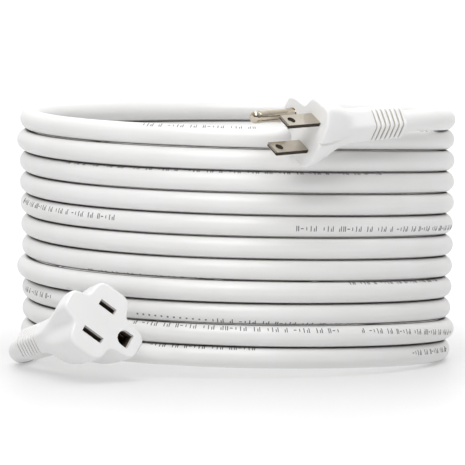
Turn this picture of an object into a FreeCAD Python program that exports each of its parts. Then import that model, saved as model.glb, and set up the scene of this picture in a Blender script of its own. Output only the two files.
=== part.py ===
"""Three-conductor extension cord, wound into a round coil of twelve turns.

A grounding plug stands off the top of the coil and a grounding connector off its foot.
Everything is in millimetres. The origin is on the coil's axis, on the surface that the
coil lies on; +Z is up, and -Y is the side that the plug and connector face.

The plug and the connector are each made in a local frame: X points out of the face, the
two blades or slots lie at Y = +-6.35, and the ground contact lies at positive Z.
"""
import FreeCAD, Part
import math
import os

V = FreeCAD.Vector

# ---- cord and coil -------------------------------------------------------------------
CORD_D = 8.4                # outside diameter of the jacket
CORD_R = CORD_D / 2
LEVELS = 12                 # turns on top of each other at the back of the coil
PITCH = 8.45                # height from one turn to the next
TURN_R = 82.9               # radius of a turn's centreline
WEB_HALF = 2.4              # half width of the solid core that joins the turns

WIRE_D = 2.8                # insulated conductor
STRAND_D = 1.5              # bare copper strand
WIRE_LAY_R = 1.9            # radius that the three conductors lie on inside the jacket
JACKET_DEPTH = 12.0         # how far the jacket runs into a strain relief

# ---- blades, pin and openings, as standardised for a 15 A grounding plug -------------
BLADE_Y = 12.7 / 2
GROUND_Z = 11.9             # ground pin's axis above the line through the blades
BLADE_W, BLADE_T, BLADE_L = 6.35, 1.52, 16.0
BLADE_HOLE_D, BLADE_HOLE_X = 3.2, 12.3
BLADE_BEVEL = 0.5
PIN_R, PIN_L = 2.4, 20.0
SHANK_R = 2.7                           # pin's thicker root, flush with the plug's face
PIN_GROOVE_X, PIN_GROOVE = 17.2, 0.35
NOSE_R = 1.6
LINE_SLOT, NEUTRAL_SLOT, SLOT_T = 7.5, 9.1, 2.5
GROUND_HOLE_R, GROUND_HOLE_FLAT = 3.0, 2.9

# ---- moulded bodies ------------------------------------------------------------------
# A face's lobes: heading in degrees from +Y towards the ground side, reach, half width
PLUG_LOBES = ((4, 13.3, 6.5), (90, 17.4, 6.9), (176, 13.3, 6.5), (270, 6.9, 9.0))
CONNECTOR_LOBES = ((0, 14.3, 8.4), (90, 19.4, 6.3), (180, 14.3, 8.4), (270, 15.5, 5.4))
LOBE_POWER, JOIN_POWER = 4.6, 5.0       # how square lobes are and how sharply they join
HEX_R, HEX_POWER = 7.2, 16.0            # six-sided neck, from its axis to a corner
FACE_POINTS = 72
RIM = 1.1                               # rounding of the face's edge
BELL_STEPS = 12                         # sections from the rim back to the neck
RIBS, RIB_PITCH, RIB_T = 7, 2.4, 1.5
RIB_DEPTH, RIB_ROUND, RELIEF_TAPER = 1.1, 0.3, 0.07
RELIEF_L = RIBS * RIB_PITCH

# For each body: how far behind the face its neck starts, where it is full and where it is
# down to the neck, how far the neck lies towards the ground side, and how long the body
# stays full on the ground side and on the far side
PLUG_BODY = {"lobes": PLUG_LOBES, "neck_x": 30.0, "full_x": 0.75, "slim_x": 22.5,
             "neck_z": 2.5, "belly": (1.05, 1.05)}
CONNECTOR_BODY = {"lobes": CONNECTOR_LOBES, "neck_x": 43.0, "full_x": 3.0, "slim_x": 43.0,
                  "neck_z": 0.0, "belly": (2.2, 0.85)}

# ---- inner pieces --------------------------------------------------------------------
# A tee is a bar across the blades with a tab to the ground side: half width and half
# height of the bar, half width of the tab and height of its end
BRIDGE_X, BRIDGE_TEE = (-7.0, -2.0), (9.6, 4.4, 3.7, 15.1)      # plug's inner bridge
INSERT_TEE = (9.9, 5.7, 4.7, 15.9)
TEE_ROUND = 1.0
BARREL_R, BARREL_L = 1.6, 5.0           # crimp barrel on the back of a blade or contact
BLADE_TAIL, PIN_TAIL, PIN_BARREL_Z = 6.5, 6.0, 9.8
STRAND_INSET = 1.0                      # strand stops this far inside its barrel
WIRE_STRAIGHT, WIRE_TURN = 0.12, 0.52   # shares of its length where a wire bends
INSERT_X, CAP_X = (-20.0, -2.0), (-21.5, -20.0)     # connector's inner insert and its cap
INSERT_WALL = 2.0
MOUTH_X = (-6.0, 1.0)                   # span cut for the slots and the ground opening
CAVITY_Y, CAVITY_Z = 2.4, 5.0           # half sizes of a contact's cavity
GROUND_CAVITY_Y, GROUND_CAVITY_Z = 3.9, 3.1
CONTACT_BACK, CONTACT_T = -17.0, 0.8    # front and thickness of a contact's base
CONTACT_NECK = 1.0                      # contact's stem behind the cap, before its barrel
LEAF_T, LEAF_GAP, LEAF_TIP_X = 0.4, 0.15, -5.5
LEAF_FLARE, FLARE_OUT = 2.0, 0.45       # length of a leaf's flared mouth and how far it opens
# Name, position, half width, and the leaf's distance from the middle at root and at tip
CONTACTS = (("line", -BLADE_Y, 0, 2.6, 1.5, 0.5), ("neutral", BLADE_Y, 0, 2.6, 1.5, 0.5),
            ("ground", 0, GROUND_Z, 1.9, 2.5, 1.9))

# ---- where the plug and the connector lie --------------------------------------------
# Face centre between the blades, the direction out of the face, the direction of +Y
PLUG_AT = V(27.2, -100.1, 95.2)
PLUG_OUT, PLUG_SIDE = V(-0.762, -0.647, -0.034), V(0.351, -0.456, 0.818)
CONNECTOR_AT = V(-51.8, -103.3, 24.3)
CONNECTOR_OUT, CONNECTOR_SIDE = V(0.492, -0.839, 0.231), V(-0.427, -0.462, -0.777)

# Routes of the two leads, from the coil's end to the inside of each strain relief
ARC_SHARE = 0.45            # share of a run that the arc at its end may use up
PLUG_LEAD = [V(82.9, 0, 97.15), V(82.9, -9.0, 97.15), V(82.6, -24.0, 97.3),
             V(80.2, -43.5, 98.1), V(69.3, -61.7, 98.6), V(52.4, -76.0, 97.8)]
CONNECTOR_LEAD = [V(-82.9, 0, 4.2), V(-82.9, -11.5, 4.2), V(-86.0, -23.6, 4.2),
                  V(-86.2, -44.6, 8.1), V(-75.4, -63.0, 13.2)]


def place(origin, out, side):
    """Placement of a local frame whose X leaves the face and whose Y is the side direction."""
    return FreeCAD.Placement(origin, FreeCAD.Rotation(out, side, out.cross(side), "XYZ"))


PLUG = place(PLUG_AT, PLUG_OUT, PLUG_SIDE)
CONNECTOR = place(CONNECTOR_AT, CONNECTOR_OUT, CONNECTOR_SIDE)


def save(name, shape, placement=None):
    """Write one sub-part, moved out of its local frame, and say what it is."""
    shape = shape.copy()
    if placement:
        shape.Placement = placement.multiply(shape.Placement)
    shape.exportStep("parts/%s.step" % name)
    state = "ok" if shape.isValid() else "INVALID"
    print("%-28s %2d solid %10.1f mm3  %s" % (name, len(shape.Solids), shape.Volume, state))
    return shape


def box(x, y, z):
    """A box from its (low, high) ranges."""
    return Part.makeBox(x[1] - x[0], y[1] - y[0], z[1] - z[0], V(x[0], y[0], z[0]))


def rod(radius, x, y=0.0, z=0.0):
    """A cylinder along X, from x[0] to x[1], at (y, z)."""
    return Part.makeCylinder(radius, x[1] - x[0], V(x[0], y, z), V(1, 0, 0))


def around(middle, half):
    """The (low, high) range of a size about its middle."""
    return middle - half, middle + half


# ---- routes --------------------------------------------------------------------------
def route(points, name=None):
    """Straight runs joined by tangent arcs, each as large as its two runs allow."""
    edges, start, radii = [], points[0], []
    for before, corner, after in zip(points, points[1:], points[2:]):
        back, ahead = before - corner, after - corner
        half_turn = (math.pi - back.getAngle(ahead)) / 2
        cut = ARC_SHARE * min(back.Length, ahead.Length)
        radius = cut / math.tan(half_turn)
        back.normalize()
        ahead.normalize()
        inward = (back + ahead).normalize()
        entry, leave = corner + back * cut, corner + ahead * cut
        middle = corner + inward * (radius / math.cos(half_turn) - radius)
        edges.append(Part.LineSegment(start, entry).toShape())
        edges.append(Part.Arc(entry, middle, leave).toShape())
        radii.append(round(radius, 1))
        start = leave
    edges.append(Part.LineSegment(start, points[-1]).toShape())
    if name:
        print(name, "arc radii", radii)
    return Part.Wire(edges)


def tube(points, diameter, name=None):
    """A round solid along a route."""
    path = route(points, name)
    ring = Part.Wire(Part.makeCircle(diameter / 2, points[0], points[1] - points[0]))
    solid = path.makePipeShell([ring], True, False)
    if name:
        expected = math.pi * diameter ** 2 / 4 * path.Length
        ratio = solid.Volume / expected
        print(name, "length %.1f, volume over section times length %.4f" % (path.Length, ratio))
    return solid


# ---- coil ----------------------------------------------------------------------------
def turn_profile(levels):
    """Closed outline, in the XZ plane, of a column of cord sections joined by a web."""
    rise = math.sqrt(CORD_R ** 2 - WEB_HALF ** 2)
    columns = [(1, level) for level in range(levels)]
    columns += [(-1, level) for level in reversed(range(levels))]
    arcs = []
    for side, level in columns:
        z = CORD_R + level * PITCH
        x = TURN_R + side * WEB_HALF
        arcs.append((V(x, 0, z - side * rise), V(TURN_R + side * CORD_R, 0, z),
                     V(x, 0, z + side * rise)))
    edges = []
    for arc, following in zip(arcs, arcs[1:] + arcs[:1]):
        edges.append(Part.Arc(*arc).toShape())
        if arc[2].x == following[0].x:
            edges.append(Part.makeLine(arc[2], following[0]))
        else:
            crest = V(TURN_R, 0, arc[1].z + math.copysign(CORD_R, arc[2].z - arc[1].z))
            edges.append(Part.Arc(arc[2], crest, following[0]).toShape())
    return Part.Wire(edges)


def coil():
    """The wound turns: level round the back, and stepping down by one across the front."""
    back = Part.Face(turn_profile(LEVELS)).revolve(V(0, 0, 0), V(0, 0, 1), 180)
    helix = Part.makeHelix(2 * PITCH, PITCH, TURN_R, 0, True)
    front = Part.BRepOffsetAPI.MakePipeShell(Part.Wire(helix.Edges))
    front.setBiNormalMode(V(0, 0, 1))
    front.add(turn_profile(LEVELS - 1))
    front.build()
    front.makeSolid()
    return back.fuse(front.shape()).Solids[0]


# ---- moulded bodies ------------------------------------------------------------------
def lobed_radius(angle, lobes):
    """Face outline: rounded-square lobes run together, as a radius at an angle."""
    total = 0.0
    for heading, reach, half_width in lobes:
        off = angle - math.radians(heading)
        if math.cos(off) > 0:
            along = (math.cos(off) / reach) ** LOBE_POWER
            across = (abs(math.sin(off)) / half_width) ** LOBE_POWER
            total += (along + across) ** (-JOIN_POWER / LOBE_POWER)
    return total ** (1 / JOIN_POWER)


def hex_radius(angle):
    """Six-sided neck with softened corners, two of them on the Y axis."""
    flat = HEX_R * math.cos(math.pi / 6)
    total = 0.0
    for side in range(6):
        reach = math.cos(angle - math.pi / 6 - side * math.pi / 3)
        if reach > 0:
            total += (reach / flat) ** HEX_POWER
    return total ** (-1 / HEX_POWER)


def flare(body, x, angle):
    """How far the body has gone from lobes (0) to neck (1), x behind its face."""
    along = (x - body["full_x"]) / (body["slim_x"] - body["full_x"])
    near, far = body["belly"]
    along = min(max(along, 0.0), 1.0) ** (far + (near - far) * (1 + math.sin(angle)) / 2)
    return along * along * (3 - 2 * along)


def section(body, x, inset=0.0, scale=1.0):
    """Closed outline of the body, x behind its face."""
    points = []
    for step in range(FACE_POINTS):
        angle = 2 * math.pi * step / FACE_POINTS
        slim = flare(body, x, angle)
        lobes = lobed_radius(angle, body["lobes"])
        radius = scale * ((1 - slim) * lobes + slim * hex_radius(angle) - inset)
        points.append(V(-x, radius * math.cos(angle),
                        body["neck_z"] * slim + radius * math.sin(angle)))
    curve = Part.BSplineCurve()
    curve.interpolate(Points=points, PeriodicFlag=True)
    return Part.Wire(curve.toShape())


def bell(body):
    """The moulded body from its rounded face back to its neck."""
    length = body["neck_x"] - RIM
    sections = [section(body, RIM * (1 - math.cos(turn)), RIM * (1 - math.sin(turn)))
                for turn in (0, math.pi / 6, math.pi / 3)]
    sections += [section(body, RIM + length * step / BELL_STEPS)
                 for step in range(BELL_STEPS + 1)]
    return Part.makeLoft(sections, True, False)


def strain_relief(body):
    """Ribbed tail of a moulded body, tapering to the cord."""
    core = [section(body, body["neck_x"] + x, RIB_DEPTH, 1 - RELIEF_TAPER * x / RELIEF_L)
            for x in (0, RELIEF_L - RIB_PITCH + RIB_T)]
    tail = Part.makeLoft(core, True, True)
    outline = [(0, RIB_ROUND), (RIB_ROUND, 0), (RIB_T - RIB_ROUND, 0), (RIB_T, RIB_ROUND)]
    for rib in range(RIBS):
        front = body["neck_x"] + (rib + 1) * RIB_PITCH - RIB_T
        scale = 1 - RELIEF_TAPER * rib / RIBS
        disc = [section(body, front + x, inset, scale) for x, inset in outline]
        tail = tail.fuse(Part.makeLoft(disc, True, True))
    return tail


def overmould(body, hollows):
    """A moulded body with its strain relief, less everything that it is moulded round."""
    solid = bell(body).fuse(strain_relief(body))
    for hollow in hollows:
        solid = solid.cut(hollow)
    return solid.Solids[0]


def slot(width, y, x):
    """A blade slot through x, long in Z."""
    return box(x, around(y, SLOT_T / 2), around(0, width / 2))


def ground_hole(radius, x):
    """The ground opening: round towards the blades, flat on its far side."""
    block = box(x, around(0, radius), (GROUND_Z, GROUND_Z + GROUND_HOLE_FLAT))
    return rod(radius, x, 0, GROUND_Z).fuse(block).removeSplitter().common(
        box(x, around(0, radius), (GROUND_Z - radius, GROUND_Z + GROUND_HOLE_FLAT)))


def tee(x, side_y, side_z, tab_y, tab_z):
    """Block in the shape of the face: a bar across the blades with a tab to the ground side."""
    bar = box(x, around(0, side_y), around(0, side_z))
    tab = box(x, around(0, tab_y), (-side_z, tab_z))
    block = bar.fuse(tab).removeSplitter()
    along = [e for e in block.Edges if abs(e.tangentAt(e.FirstParameter).x) > 0.9]
    return block.makeFillet(TEE_ROUND, along)


# ---- metal and wires -----------------------------------------------------------------
def barrel(front, y, z):
    """Crimp barrel, a tube that grips the copper strand."""
    span = (front - BARREL_L, front)
    return rod(BARREL_R, span, y, z).cut(rod(STRAND_D / 2, span, y, z))


def blade(y):
    """Flat blade with bevelled tip, a hole, and a crimp barrel behind."""
    span = (-BLADE_TAIL, BLADE_L)
    plate = box(span, around(y, BLADE_T / 2), around(0, BLADE_W / 2))
    tip = [e for e in plate.Edges if e.BoundBox.XMin > BLADE_L - 0.01]
    plate = plate.makeChamfer(BLADE_BEVEL, tip)
    hole = Part.makeCylinder(BLADE_HOLE_D / 2, 2 * BLADE_T, V(BLADE_HOLE_X, y - BLADE_T, 0),
                             V(0, 1, 0))
    return plate.cut(hole).fuse(barrel(-BLADE_TAIL, y, 0))


def ground_pin():
    """Round ground pin with a domed nose and a line round it, and its crimp barrel."""
    pin = rod(PIN_R, (0, PIN_L), 0, GROUND_Z)
    nose = [e for e in pin.Edges if e.BoundBox.XMin > PIN_L - 0.01]
    pin = pin.makeFillet(NOSE_R, nose)
    ring = Part.makeTorus(PIN_R, PIN_GROOVE, V(PIN_GROOVE_X, 0, GROUND_Z), V(1, 0, 0))
    shank = rod(SHANK_R, (-PIN_TAIL, 0), 0, GROUND_Z)
    return pin.cut(ring).fuse(shank).fuse(barrel(-PIN_TAIL, 0, PIN_BARREL_Z))


def wire_route(front, y, z, jacket_x, neck_z):
    """A conductor's path from a crimp barrel's mouth back to the jacket's end."""
    lay_y = math.copysign(WIRE_LAY_R * math.cos(math.pi / 6), y) if y else 0.0
    lay_z = neck_z + (WIRE_LAY_R if y == 0 else -WIRE_LAY_R / 2)
    reach = front - jacket_x
    return [V(front, y, z), V(front - WIRE_STRAIGHT * reach, y, z),
            V(front - WIRE_TURN * reach, lay_y, lay_z), V(jacket_x, lay_y, lay_z)]


def wires(side, placement, ends, jacket_x, neck_z):
    """Three insulations and their copper strands; returns the space that they fill."""
    filled = []
    names = ("line", "neutral", "ground")
    for name, (front, y, z) in zip(names, ends):
        path = wire_route(front - BARREL_L, y, z, jacket_x, neck_z)
        outer = tube(path, WIRE_D)
        strand_path = [V(front - STRAND_INSET, y, z)] + path[1:]
        strand = tube(strand_path, STRAND_D)
        save("%s_%s_insulation" % (side, name), outer.cut(strand), placement)
        save("%s_%s_strand" % (side, name), strand, placement)
        filled += [outer, strand]
    return filled


def inside(placement, points, diameter):
    """The straight part of a lead inside its strain relief, in the body's local frame."""
    local = [placement.inverse().multVec(point) for point in points]
    direction = (local[0] - local[1]).normalize()
    return Part.makeCylinder(diameter / 2, JACKET_DEPTH + 1, local[1], direction)


# ---- assemblies ----------------------------------------------------------------------
def plug():
    """Grounding plug: blades and pin in a bridge, wires, and the moulded body."""
    metal = {"plug_line_blade": blade(BLADE_Y), "plug_neutral_blade": blade(-BLADE_Y),
             "plug_ground_pin": ground_pin()}
    ends = [(-BLADE_TAIL, BLADE_Y, 0), (-BLADE_TAIL, -BLADE_Y, 0), (-PIN_TAIL, 0, PIN_BARREL_Z)]
    barrels = [rod(BARREL_R, (front - BARREL_L, front), y, z) for front, y, z in ends]
    bridge = tee(BRIDGE_X, *BRIDGE_TEE)
    for hollow in barrels + list(metal.values()):
        bridge = bridge.cut(hollow)
    save("plug_bridge", bridge, PLUG)
    for name, piece in metal.items():
        save(name, piece, PLUG)
    jacket_x = -(PLUG_BODY["neck_x"] + RELIEF_L - JACKET_DEPTH)
    filled = wires("plug", PLUG, ends, jacket_x, PLUG_BODY["neck_z"])
    lead = inside(PLUG, PLUG_LEAD[-2:], CORD_D)
    hollows = [bridge] + list(metal.values()) + barrels + filled + [lead]
    save("plug_body", overmould(PLUG_BODY, hollows), PLUG)


def leaf(y, side, half_width, z, root, tip):
    """Spring leaf of a contact: leans in to grip, then flares at its mouth."""
    back = CONTACT_BACK + LEAF_GAP
    line = [(back, root), (LEAF_TIP_X - LEAF_FLARE, tip), (LEAF_TIP_X, tip + FLARE_OUT)]
    outer = [(x, off + LEAF_T) for x, off in reversed(line)]
    corners = [V(x, y + side * off, z - half_width) for x, off in line + outer]
    face = Part.Face(Part.makePolygon(corners + corners[:1]))
    return face.extrude(V(0, 0, 2 * half_width))


def contact(name, y, z, half_width, root, tip):
    """A contact's base and its two leaves; returns the stem that goes through the cap."""
    base_span = (CONTACT_BACK - CONTACT_T, CONTACT_BACK)
    base = box(base_span, around(y, root + LEAF_T), around(z, half_width))
    stem = rod(BARREL_R, (CAP_X[0] - CONTACT_NECK, base_span[0]), y, z)
    base = base.fuse(stem).fuse(barrel(CAP_X[0] - CONTACT_NECK, y, z))
    save("connector_%s_contact" % name, base, CONNECTOR)
    for label, side in (("a", 1), ("b", -1)):
        piece = leaf(y, side, half_width, z, root, tip)
        save("connector_%s_leaf_%s" % (name, label), piece, CONNECTOR)
    return stem


def connector():
    """Grounding connector: contacts in a two-piece insert, wires, and the moulded body."""
    mouth = [slot(LINE_SLOT, -BLADE_Y, MOUTH_X), slot(NEUTRAL_SLOT, BLADE_Y, MOUTH_X),
             ground_hole(GROUND_HOLE_R, MOUTH_X)]
    insert, cap = tee(INSERT_X, *INSERT_TEE), tee(CAP_X, *INSERT_TEE)
    room_x = (INSERT_X[0], INSERT_X[1] - INSERT_WALL)
    rooms = [box(room_x, around(y, CAVITY_Y), around(0, CAVITY_Z)) for y in (-BLADE_Y, BLADE_Y)]
    rooms.append(box(room_x, around(0, GROUND_CAVITY_Y), around(GROUND_Z, GROUND_CAVITY_Z)))
    for hollow in rooms + mouth:
        insert = insert.cut(hollow)
    block = tee((CAP_X[0], INSERT_X[1]), *INSERT_TEE)
    ends = []
    for name, y, z, half_width, root, tip in CONTACTS:
        cap = cap.cut(contact(name, y, z, half_width, root, tip))
        ends.append((CAP_X[0] - CONTACT_NECK, y, z))
    save("connector_insert", insert, CONNECTOR)
    save("connector_insert_cap", cap, CONNECTOR)
    jacket_x = -(CONNECTOR_BODY["neck_x"] + RELIEF_L - JACKET_DEPTH)
    filled = wires("connector", CONNECTOR, ends, jacket_x, CONNECTOR_BODY["neck_z"])
    barrels = [rod(BARREL_R, (front - BARREL_L, CAP_X[0]), y, z) for front, y, z in ends]
    lead = inside(CONNECTOR, CONNECTOR_LEAD[-2:], CORD_D)
    hollows = mouth + [block] + barrels + filled + [lead]
    save("connector_body", overmould(CONNECTOR_BODY, hollows), CONNECTOR)


os.makedirs("parts", exist_ok=True)
save("coil", coil())
save("plug_lead", tube(PLUG_LEAD, CORD_D, "plug_lead"))
save("connector_lead", tube(CONNECTOR_LEAD, CORD_D, "connector_lead"))
plug()
connector()
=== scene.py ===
"""Looks of a white three-conductor extension cord, wound into a round coil of twelve turns.

The coil lies on a pale floor. A grounding plug stands off its top right, and a grounding
connector off its foot at the left. Everything is in metres, in the frame of the CAD model:
the origin is on the coil's axis at the floor, +Z is up, and -Y is the side seen here.
"""
import math

import bmesh
import bpy
import numpy as np
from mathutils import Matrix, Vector


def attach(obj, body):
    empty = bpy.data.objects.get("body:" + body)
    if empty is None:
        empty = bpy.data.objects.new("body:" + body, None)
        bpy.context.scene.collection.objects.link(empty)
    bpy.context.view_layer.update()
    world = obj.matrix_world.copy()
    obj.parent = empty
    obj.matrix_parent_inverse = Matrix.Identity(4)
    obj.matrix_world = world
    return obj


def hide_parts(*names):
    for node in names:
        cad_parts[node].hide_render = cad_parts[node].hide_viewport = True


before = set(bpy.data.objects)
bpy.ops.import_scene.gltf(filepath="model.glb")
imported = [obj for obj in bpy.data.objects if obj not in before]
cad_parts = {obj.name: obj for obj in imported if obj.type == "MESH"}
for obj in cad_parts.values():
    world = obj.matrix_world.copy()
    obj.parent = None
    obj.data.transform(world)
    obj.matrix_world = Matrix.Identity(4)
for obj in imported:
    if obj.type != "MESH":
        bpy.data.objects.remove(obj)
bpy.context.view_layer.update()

MM = 0.001

# ---- the cord ------------------------------------------------------------------------
CORD_D = 0.0084
CORD_R = CORD_D / 2
LEVELS = 12                 # turns on top of each other at the back
TURN_R = 0.0829             # radius of a turn's centreline
PITCH = 0.00845             # height from one turn to the next
POINTS_PER_TURN = 24        # control points of the cord's curve
CURVE_STEPS, ROUND_STEPS = 8, 10    # fineness between control points, and round the jacket
# In pitches: how far over one pitch a turn steps down across the front, and so how low its
# back lies at the right and how high at the left
STEEP = 0.083
EASE = STEEP / 2

# How far each turn bulges past the mean radius, at the left of the coil and at its right
LEFT_BULGE = (0, 1.3, 0.3, 0.3, 0, -0.2, -0.5, 1.5, -0.5, -0.6, 0, 0)
RIGHT_BULGE = (0.5, 0.3, 0.4, 0.3, 0.3, -0.2, -0.1, -0.4, -0.6, -1.1, 0.3, -1.4)

# Routes of the two leads, from the coil's end to the inside of each strain relief
PLUG_LEAD = ((0.0829, 0, 0.09715), (0.0829, -0.0090, 0.09715), (0.0826, -0.0240, 0.0973),
             (0.0802, -0.0435, 0.0981), (0.0693, -0.0617, 0.0986), (0.0524, -0.0760, 0.0978))
CONNECTOR_LEAD = ((-0.0829, 0, 0.0042), (-0.0829, -0.0115, 0.0042),
                  (-0.0860, -0.0236, 0.0042), (-0.0862, -0.0446, 0.0081),
                  (-0.0754, -0.0630, 0.0132))

# ---- marks printed on the jacket: plain ticks, dashes and dots, not lettering -----------
MARK_TALL, DOT_SIZE = 0.0021, 0.00064
MARK_PITCH, DOT_PITCH = 0.0017, 0.0024
MARK_SKIN = 0.00004         # how far a mark stands off the jacket
MARK_BENDS = 5              # points round the jacket along an upright stroke
# Each row's turn, the azimuths where it starts and ends (the front is 270), its roll round the
# cord at both (0 is outward, 90 is up), and whether its first third is dots
MARK_ROWS = ((0, 244, 277, 62, 70, False), (0, 325, 345, 65, 65, False),
             (2, 216, 314, 65, 65, False), (4, 191, 240, 27, 13, False),
             (4, 284, 355, -8, -20, False), (6, 225, 263, -60, -70, False),
             (7, 300, 343, 62, 62, False), (8, 191, 215, 10, 10, False),
             (8, 243, 304, -24, -75, True), (9, 242, 300, 54, 33, False),
             (9, 302, 350, 33, -13, False), (10, 246, 278, 60, 60, False),
             (10, 322, 350, 13, 13, False), (1, 40, 120, 20, 35, False),
             (3, 60, 150, -15, 10, True), (5, 95, 165, 40, 15, False),
             (7, 30, 110, 5, -30, False), (9, 70, 140, 25, 45, False))
# Strokes of each kind of mark, as (across, up, wide, tall) shares of a mark's height
MARKS = (((0.0, 0, 0.15, 1), (0.35, 0, 0.15, 1)), ((0.2, 0, 0.15, 1),),
         ((0.0, 0.42, 0.5, 0.16),), ((0.0, 0, 0.15, 0.6), (0.35, 0, 0.15, 1)),
         ((0.2, 0.2, 0.15, 0.6),))
MARK_GROUPS = (3, 1, 4, 2, 5, 3, 6, 2)      # marks in each group before a gap
MARK_STRIDE = 3             # from one mark's kind to the next one's, so that they mix

# ---- surfaces ------------------------------------------------------------------------
# Features per metre of the patches of colour, of the patches of gloss and of the grain
JACKET_CLOUD, JACKET_GLOSS, JACKET_GRAIN = 45, 260, 1600
PLASTIC_CLOUD, PLASTIC_GLOSS = 60, 220
METAL_CLOUD = 150
DRAWN_LINES = (240, 30, 1)  # features of the drawn lines along the whole cord, and round it
LINE_DEPTH, GRAIN_DEPTH = 0.00002, 0.000012
NOISE_LOW, NOISE_HIGH = 0.3, 0.7    # what a noise value mostly lies between
# Painted shade: a surface is darker where another one is within reach, fully where no more
# than the first share of what it faces is open, and not at all from the second
JACKET_SHADE_REACH, RIB_SHADE_REACH, METAL_SHADE_REACH = 0.0019, 0.0016, 0.0005
SHADE_FULL_UP_TO, SHADE_NONE_FROM = 0.2, 0.6
SHADE_SAMPLES = 8
# Colours of the painted shade: in the jacket's crevices, between the moulded bodies' ribs, and
# on metal in its grooves and narrow faces
JACKET_PAINTED_SHADE = (0.10, 0.085, 0.07)
RIB_PAINTED_SHADE = (0.52, 0.48, 0.41)
METAL_PAINTED_SHADE = (0.05, 0.04, 0.03)
BLADE_SIDE = (0.351, -0.456, 0.818)     # the way the blades' broad faces look
# Cosine of a face's angle to that way, up to which it gets full painted shade and from which
# it is plain
EDGE_SHADE_FULL, EDGE_SHADE_NONE = 0.4, 0.8

# ---- camera, floor and light ---------------------------------------------------------
CAMERA_AT = (-0.0018, -1.650, 0.1606)
CAMERA_DOWN = 3.805         # degrees below level
CAMERA_LENS, CAMERA_SENSOR = 317.5, 36
CLIP_NEAR, CLIP_FAR = 0.05, 300
FLOOR_SIZE, FLOOR_GREY = 120, 0.36
# The floor's own glow near the coil and far off, and the distances that it changes between
GLOW_NEAR, GLOW_FAR = 0.40, 0.64
GLOW_FROM, GLOW_TO = 0.10, 0.35
# The room is brightest ahead of the camera and a little up, and darkest behind the camera
ROOM_DARK, ROOM_BRIGHT = 0.16, 1.12
ROOM_WAY = (0, 1, 0.25)
ROOM_FROM, ROOM_TO = -0.4, 0.9          # how far along ROOM_WAY it starts and ends to change
# Place, aim, size and power of the soft light above and in front of the coil, and of a small
# one above it that lights the inside of its far wall
KEY = ((-0.10, -0.95, 1.15), (0, 0, 0.05), 0.9, 13.2)
INNER = ((0, -0.06, 0.42), (0, 0.083, 0.085), 0.2, 0.3)


# ---- node helpers --------------------------------------------------------------------
def new_material(name, color, **sockets):
    """A material with its shader's uniform values set on the shader's own sockets."""
    made = bpy.data.materials.new(name)
    made.use_nodes = True
    made.diffuse_color = (*color, 1)
    shader = made.node_tree.nodes["Principled BSDF"]
    shader.inputs["Base Color"].default_value = (*color, 1)
    for socket, value in sockets.items():
        shader.inputs[socket.replace("_", " ")].default_value = value
    return made, shader


def coordinates(tree, kind="Object", stretch=(1, 1, 1)):
    """Texture coordinates of a kind, stretched along each axis."""
    source = tree.nodes.new("ShaderNodeTexCoord")
    mapping = tree.nodes.new("ShaderNodeMapping")
    mapping.inputs["Scale"].default_value = stretch
    tree.links.new(source.outputs[kind], mapping.inputs["Vector"])
    return mapping.outputs["Vector"]


def noise(tree, vector, scale, detail=3.0):
    """A noise value with features about 1 / scale across."""
    node = tree.nodes.new("ShaderNodeTexNoise")
    node.inputs["Scale"].default_value = scale
    node.inputs["Detail"].default_value = detail
    tree.links.new(vector, node.inputs["Vector"])
    return node.outputs["Fac"]


def ramp(tree, value, low, high):
    """Runs from the colour low to the colour high over the range of a noise value."""
    node = tree.nodes.new("ShaderNodeValToRGB")
    ends = ((NOISE_LOW, low), (NOISE_HIGH, high))
    for element, (place, color) in zip(node.color_ramp.elements, ends):
        element.position = place
        element.color = (*color, 1)
    tree.links.new(value, node.inputs["Fac"])
    return node.outputs["Color"]


def spread(tree, value, low, high, start=NOISE_LOW, end=NOISE_HIGH):
    """Runs from low to high as value goes from start to end."""
    node = tree.nodes.new("ShaderNodeMapRange")
    node.inputs["From Min"].default_value = start
    node.inputs["From Max"].default_value = end
    node.inputs["To Min"].default_value = low
    node.inputs["To Max"].default_value = high
    tree.links.new(value, node.inputs["Value"])
    return node.outputs["Result"]


def bump(tree, height, depth, under=None):
    """Relief of that depth in metres, on top of another relief if one is given."""
    node = tree.nodes.new("ShaderNodeBump")
    node.inputs["Distance"].default_value = depth
    node.inputs["Strength"].default_value = 1.0
    tree.links.new(height, node.inputs["Height"])
    if under is not None:
        tree.links.new(under, node.inputs["Normal"])
    return node.outputs["Normal"]


def darkened(tree, color, dark, value, start, end):
    """Runs from the plain colour dark to the given colour as value goes from start to end."""
    mix = tree.nodes.new("ShaderNodeMix")
    mix.data_type = "RGBA"
    tree.links.new(spread(tree, value, 0, 1, start, end), mix.inputs["Factor"])
    mix.inputs["A"].default_value = (*dark, 1)
    tree.links.new(color, mix.inputs["B"])
    return mix.outputs["Result"]


def painted_gap_shade(tree, color, reach, dark):
    """The colour with painted shade, darkened where the surface lies close to another one."""
    shade = tree.nodes.new("ShaderNodeAmbientOcclusion")
    shade.inputs["Distance"].default_value = reach
    shade.samples = SHADE_SAMPLES
    return darkened(tree, color, dark, shade.outputs["AO"], SHADE_FULL_UP_TO, SHADE_NONE_FROM)


def painted_edge_shade(tree, color, way):
    """The colour on faces that look along way or against it, and painted shade of dark metal
    elsewhere.
    """
    geometry = tree.nodes.new("ShaderNodeNewGeometry")
    along = tree.nodes.new("ShaderNodeVectorMath")
    along.operation = "DOT_PRODUCT"
    along.inputs[1].default_value = way
    tree.links.new(geometry.outputs["Normal"], along.inputs[0])
    size = tree.nodes.new("ShaderNodeMath")
    size.operation = "ABSOLUTE"
    tree.links.new(along.outputs["Value"], size.inputs[0])
    return darkened(tree, color, METAL_PAINTED_SHADE, size.outputs[0], EDGE_SHADE_FULL, EDGE_SHADE_NONE)


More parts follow.
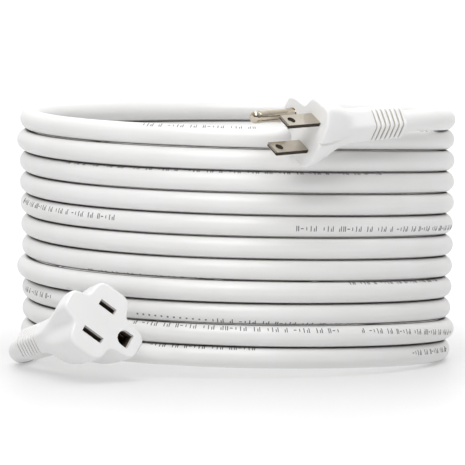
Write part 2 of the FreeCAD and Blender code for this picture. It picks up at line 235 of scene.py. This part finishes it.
# ---- materials -----------------------------------------------------------------------
def plastic(name, low, high, roughness, grain, shade_color=None, **sockets):
    """Moulded plastic: cloudy colour, uneven gloss, a grain and, if given a colour, painted
    shade in its crevices and between its ribs.

    The grain is its features per metre and its depth.
    """
    made, shader = new_material(name, high, **sockets)
    tree = made.node_tree
    place = coordinates(tree)
    tint = ramp(tree, noise(tree, place, PLASTIC_CLOUD), low, high)
    # Painted shade in crevices and between the ribs, where the body lies close to itself
    if shade_color:
        tint = painted_gap_shade(tree, tint, RIB_SHADE_REACH, shade_color)
    tree.links.new(tint, shader.inputs["Base Color"])
    gloss = spread(tree, noise(tree, place, PLASTIC_GLOSS), *roughness)
    tree.links.new(gloss, shader.inputs["Roughness"])
    scale, depth = grain
    tree.links.new(bump(tree, noise(tree, place, scale, 2.0), depth), shader.inputs["Normal"])
    return made


def jacket_material():
    """Extruded white PVC, with faint lines along the cord."""
    made, shader = new_material("jacket_pvc", (0.86, 0.86, 0.85), IOR=1.5,
                                Coat_Weight=0.08, Coat_Roughness=0.2)
    tree = made.node_tree
    place = coordinates(tree)
    tint = ramp(tree, noise(tree, place, JACKET_CLOUD),
                (0.845, 0.842, 0.832), (0.875, 0.874, 0.870))
    # Painted shade in the crevices between touching turns
    tint = painted_gap_shade(tree, tint, JACKET_SHADE_REACH, JACKET_PAINTED_SHADE)
    tree.links.new(tint, shader.inputs["Base Color"])
    gloss = spread(tree, noise(tree, place, JACKET_GLOSS), 0.34, 0.46)
    tree.links.new(gloss, shader.inputs["Roughness"])
    drawn = coordinates(tree, "UV", DRAWN_LINES)
    lines = bump(tree, noise(tree, drawn, 1.0, 2.0), LINE_DEPTH)
    grain = bump(tree, noise(tree, place, JACKET_GRAIN, 2.0), GRAIN_DEPTH, under=lines)
    tree.links.new(grain, shader.inputs["Normal"])
    return made


def metal(name, low, high, roughness, stretch, depth, broad=None):
    """Brushed metal with uneven plating and painted shade in its crevices.

    Given the way that its broad faces look, its narrow faces get painted shade too.
    """
    made, shader = new_material(name, high, Metallic=1.0)
    tree = made.node_tree
    place = coordinates(tree)
    tint = ramp(tree, noise(tree, place, METAL_CLOUD), low, high)
    # Painted shade in grooves and where the metal meets other parts
    tint = painted_gap_shade(tree, tint, METAL_SHADE_REACH, METAL_PAINTED_SHADE)
    # Painted shade on the narrow faces, for their dark look
    if broad:
        tint = painted_edge_shade(tree, tint, broad)
    tree.links.new(tint, shader.inputs["Base Color"])
    brushed = noise(tree, coordinates(tree, "Object", stretch), 1.0, 4.0)
    tree.links.new(spread(tree, brushed, *roughness), shader.inputs["Roughness"])
    tree.links.new(bump(tree, brushed, depth), shader.inputs["Normal"])
    return made


def materials():
    """Every material of the object, by name."""
    return {
        "jacket": jacket_material(),
        "overmould": plastic("overmould_pvc", (0.875, 0.873, 0.868), (0.90, 0.90, 0.898),
                             roughness=(0.30, 0.40), grain=(1100, 0.000015), shade_color=RIB_PAINTED_SHADE,
                             IOR=1.5, Coat_Weight=0.1, Coat_Roughness=0.15),
        "insert": plastic("insert_plastic", (0.10, 0.075, 0.055), (0.15, 0.115, 0.085),
                          roughness=(0.5, 0.65), grain=(1500, 0.00001)),
        "blade": metal("blade_nickel", (0.55, 0.50, 0.42), (0.65, 0.60, 0.52),
                       roughness=(0.14, 0.24), stretch=(900, 900, 2500), depth=0.000004,
                       broad=BLADE_SIDE),
        "pin": metal("pin_nickel", (0.55, 0.48, 0.38), (0.66, 0.60, 0.50),
                     roughness=(0.10, 0.18), stretch=(900, 900, 2500), depth=0.000004),
        "contact": metal("contact_bronze", (0.62, 0.42, 0.22), (0.72, 0.52, 0.30),
                         roughness=(0.25, 0.4), stretch=(1200, 1200, 1200), depth=0.000004),
        "copper": metal("copper_strand", (0.70, 0.34, 0.20), (0.85, 0.45, 0.28),
                        roughness=(0.25, 0.4), stretch=(2500, 2500, 2500), depth=0.00002),
        "line": plastic("line_insulation", (0.012, 0.012, 0.013), (0.03, 0.03, 0.03),
                        roughness=(0.35, 0.5), grain=(1800, 0.00001)),
        "neutral": plastic("neutral_insulation", (0.74, 0.74, 0.72), (0.82, 0.82, 0.8),
                           roughness=(0.35, 0.5), grain=(1800, 0.00001)),
        "ground": plastic("ground_insulation", (0.015, 0.16, 0.05), (0.03, 0.24, 0.08),
                          roughness=(0.35, 0.5), grain=(1800, 0.00001)),
        "ink": plastic("print_ink", (0.06, 0.06, 0.06), (0.16, 0.16, 0.16),
                       roughness=(0.55, 0.7), grain=(2200, 0.00001)),
    }


def paint_nodes(found):
    """Gives every CAD node its material, by the words in its name."""
    words = (("insulation", None), ("strand", "copper"), ("leaf", "contact"),
             ("contact", "contact"), ("blade", "blade"), ("pin", "pin"),
             ("insert", "insert"), ("bridge", "insert"), ("body", "overmould"))
    for name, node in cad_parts.items():
        key = next((key for word, key in words if word in name), "jacket")
        if key is None:
            key = name.split("_")[1]        # plug_line_insulation is "line"
        for place in node.material_slots:
            place.material = found[key]


# ---- the cord's line -----------------------------------------------------------------
def turn_centre(turn, azimuth):
    """Centre of the cord on a turn: near level round the back, and down across the front."""
    angle = math.radians(azimuth)
    top = CORD_R + (LEVELS - 1 - turn) * PITCH
    rightness = (1 + math.cos(angle)) / 2
    if azimuth <= 180:
        height = max(CORD_R, top - EASE * PITCH * math.cos(angle))
        right = RIGHT_BULGE[turn]
    else:
        across = (azimuth - 180) / 180 - 0.5
        step = (1 + STEEP) * across - EASE * math.sin(2 * math.pi * across)
        height = top - PITCH * (step + 0.5)
        right = RIGHT_BULGE[turn + 1]
    bulge = (right * rightness + LEFT_BULGE[turn] * (1 - rightness)) * MM
    # The curve touches the middles of the sides between control points
    radius = (TURN_R + bulge) / math.cos(math.pi / POINTS_PER_TURN)
    return radius * math.cos(angle), radius * math.sin(angle), height


def cord_points():
    """Control points from the plug's strain relief, round the coil, to the connector's."""
    points = list(reversed(PLUG_LEAD[1:]))
    # The last turn has no front half, so the coil ends at the left
    for index in range(int((LEVELS - 0.5) * POINTS_PER_TURN)):
        turn, place = divmod(index, POINTS_PER_TURN)
        points.append(turn_centre(turn, (place + 0.5) * 360 / POINTS_PER_TURN))
    return points + list(CONNECTOR_LEAD[1:])


def make_cord(material):
    """The cord's jacket as one curve, from plug to connector, and points along its line."""
    data = bpy.data.curves.new("cord", "CURVE")
    data.dimensions = "3D"
    points = cord_points()
    spline = data.splines.new("NURBS")
    spline.points.add(len(points) - 1)
    for place, point in zip(spline.points, points):
        place.co = (*point, 1)
    spline.order_u = 3
    spline.use_endpoint_u = True
    data.resolution_u = CURVE_STEPS
    cord = bpy.data.objects.new("cord", data)
    bpy.context.scene.collection.objects.link(cord)
    line = read_line(cord)
    data.bevel_depth = CORD_R
    data.bevel_resolution = ROUND_STEPS
    data.materials.append(material)
    return cord, line


def read_line(cord):
    """Points along a curve that has no bevel yet."""
    bpy.context.view_layer.update()
    evaluated = cord.evaluated_get(bpy.context.evaluated_depsgraph_get())
    mesh = bpy.data.meshes.new_from_object(evaluated)
    line = np.array([vertex.co for vertex in mesh.vertices])
    bpy.data.meshes.remove(mesh)
    return line


# ---- printed marks -------------------------------------------------------------------
def stretch_of(line, turn, start, end):
    """The part of the cord's line on a turn between two azimuths, with its own lengths."""
    # The line starts just short of azimuth 0 and its azimuth grows by 360 with every turn
    azimuth = np.unwrap(np.arctan2(line[:, 1], line[:, 0]))
    first, last = np.searchsorted(azimuth, np.radians((360 * turn + start, 360 * turn + end)))
    part = line[first:last]
    along = np.concatenate(([0], np.cumsum(np.linalg.norm(np.diff(part, axis=0), axis=1))))
    return part, along


def on_jacket(part, along, at, roll, off):
    """A point just off the jacket, at a length along the line and a roll round it."""
    centre = np.array([np.interp(at, along, part[:, axis]) for axis in range(3)])
    outward = np.array((centre[0], centre[1], 0.0)) / math.hypot(centre[0], centre[1])
    upward = np.array((0.0, 0.0, 1.0))
    return centre + (CORD_R + off) * (math.cos(roll) * outward + math.sin(roll) * upward)


def add_stroke(mesh, part, along, at, roll, wide, tall):
    """A closed thin plate that follows the jacket, wide along the cord and tall round it."""
    rings = []
    steps = max(2, round(MARK_BENDS * tall / MARK_TALL))
    for step in range(steps):
        turned = roll + tall / CORD_R * (step / (steps - 1) - 0.5)
        rings.append([mesh.verts.new(on_jacket(part, along, at + side, turned, off))
                      for side, off in ((0, -MARK_SKIN), (wide, -MARK_SKIN),
                                        (wide, MARK_SKIN), (0, MARK_SKIN))])
    for lower, upper in zip(rings, rings[1:]):
        for corner in range(4):
            ahead = (corner + 1) % 4
            mesh.faces.new((lower[corner], lower[ahead], upper[ahead], upper[corner]))
    mesh.faces.new(reversed(rings[0]))
    mesh.faces.new(rings[-1])


def add_row(mesh, line, row):
    """One row of marks on the jacket, with the marks in groups."""
    turn, start, end, first_roll, last_roll, dots = row
    part, along = stretch_of(line, turn, start, end)
    length = along[-1]
    dotted = length / 3 if dots else 0
    at, group, left = 0.0, turn, MARK_GROUPS[turn % len(MARK_GROUPS)]
    while at < length - MARK_TALL:
        roll = math.radians(first_roll + (last_roll - first_roll) * at / length)
        if at < dotted:
            add_stroke(mesh, part, along, at, roll, DOT_SIZE, DOT_SIZE)
            at += DOT_PITCH
            continue
        for across, up, wide, tall in MARKS[left * MARK_STRIDE % len(MARKS)]:
            middle = roll + (up + tall / 2 - 0.5) * MARK_TALL / CORD_R
            add_stroke(mesh, part, along, at + across * MARK_TALL, middle,
                       wide * MARK_TALL, tall * MARK_TALL)
        at += MARK_PITCH
        left -= 1
        if left == 0:
            group += 1
            left = MARK_GROUPS[group % len(MARK_GROUPS)]
            at += MARK_PITCH


def make_marks(line, material):
    """Every printed mark on the jacket, as one object."""
    mesh = bmesh.new()
    for row in MARK_ROWS:
        add_row(mesh, line, row)
    data = bpy.data.meshes.new("print_marks")
    bmesh.ops.recalc_face_normals(mesh, faces=mesh.faces)
    mesh.to_mesh(data)
    mesh.free()
    data.materials.append(material)
    marks = bpy.data.objects.new("print_marks", data)
    bpy.context.scene.collection.objects.link(marks)
    return marks


# ---- scene ---------------------------------------------------------------------------
def make_floor():
    """A wide pale floor with a glow of its own that grows to white away from the coil."""
    bpy.ops.mesh.primitive_plane_add(size=FLOOR_SIZE)
    floor = bpy.context.object
    floor.name = "floor"
    made, shader = new_material("floor_white", (FLOOR_GREY,) * 3, Roughness=0.45, IOR=1.6)
    tree = made.node_tree
    length = tree.nodes.new("ShaderNodeVectorMath")
    length.operation = "LENGTH"
    tree.links.new(coordinates(tree), length.inputs[0])
    glow = spread(tree, length.outputs["Value"], GLOW_NEAR, GLOW_FAR, GLOW_FROM, GLOW_TO)
    shader.inputs["Emission Color"].default_value = (1, 1, 1, 1)
    tree.links.new(glow, shader.inputs["Emission Strength"])
    floor.data.materials.append(made)


def area_light(name, at, aim, size, power):
    """A square soft white light that points at aim."""
    data = bpy.data.lights.new(name, "AREA")
    data.shape = "SQUARE"
    data.size = size
    data.energy = power
    light = bpy.data.objects.new(name, data)
    light.location = at
    light.rotation_mode = "QUATERNION"
    light.rotation_quaternion = (Vector(aim) - Vector(at)).to_track_quat("-Z", "Y")
    bpy.context.scene.collection.objects.link(light)


def make_lights():
    """A white room that is brighter ahead, a large soft light and a small one."""
    world = bpy.data.worlds.new("studio")
    world.use_nodes = True
    tree = world.node_tree
    background = tree.nodes["Background"]
    background.inputs["Color"].default_value = (1, 1, 1, 1)
    along = tree.nodes.new("ShaderNodeVectorMath")
    along.operation = "DOT_PRODUCT"
    along.inputs[1].default_value = ROOM_WAY
    tree.links.new(coordinates(tree, "Generated"), along.inputs[0])
    room = spread(tree, along.outputs["Value"], ROOM_DARK, ROOM_BRIGHT, ROOM_FROM, ROOM_TO)
    tree.links.new(room, background.inputs["Strength"])
    bpy.context.scene.world = world
    area_light("key", *KEY)
    area_light("inner", *INNER)
    bpy.context.scene.view_settings.view_transform = "Standard"


def make_camera():
    """A long lens a little above the coil's top, pointing slightly down."""
    data = bpy.data.cameras.new("camera")
    data.lens = CAMERA_LENS
    data.sensor_width = CAMERA_SENSOR
    data.clip_start, data.clip_end = CLIP_NEAR, CLIP_FAR
    camera = bpy.data.objects.new("camera", data)
    camera.location = CAMERA_AT
    camera.rotation_euler = (math.radians(90 - CAMERA_DOWN), 0, 0)
    bpy.context.scene.collection.objects.link(camera)
    bpy.context.scene.camera = camera


def main():
    """Builds the scene round the frame."""
    found = materials()
    paint_nodes(found)
    cord, line = make_cord(found["jacket"])
    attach(cord, "root")
    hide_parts("coil", "plug_lead", "connector_lead")
    marks = make_marks(line, found["ink"])
    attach(marks, "root")
    make_floor()
    make_lights()
    make_camera()


main()
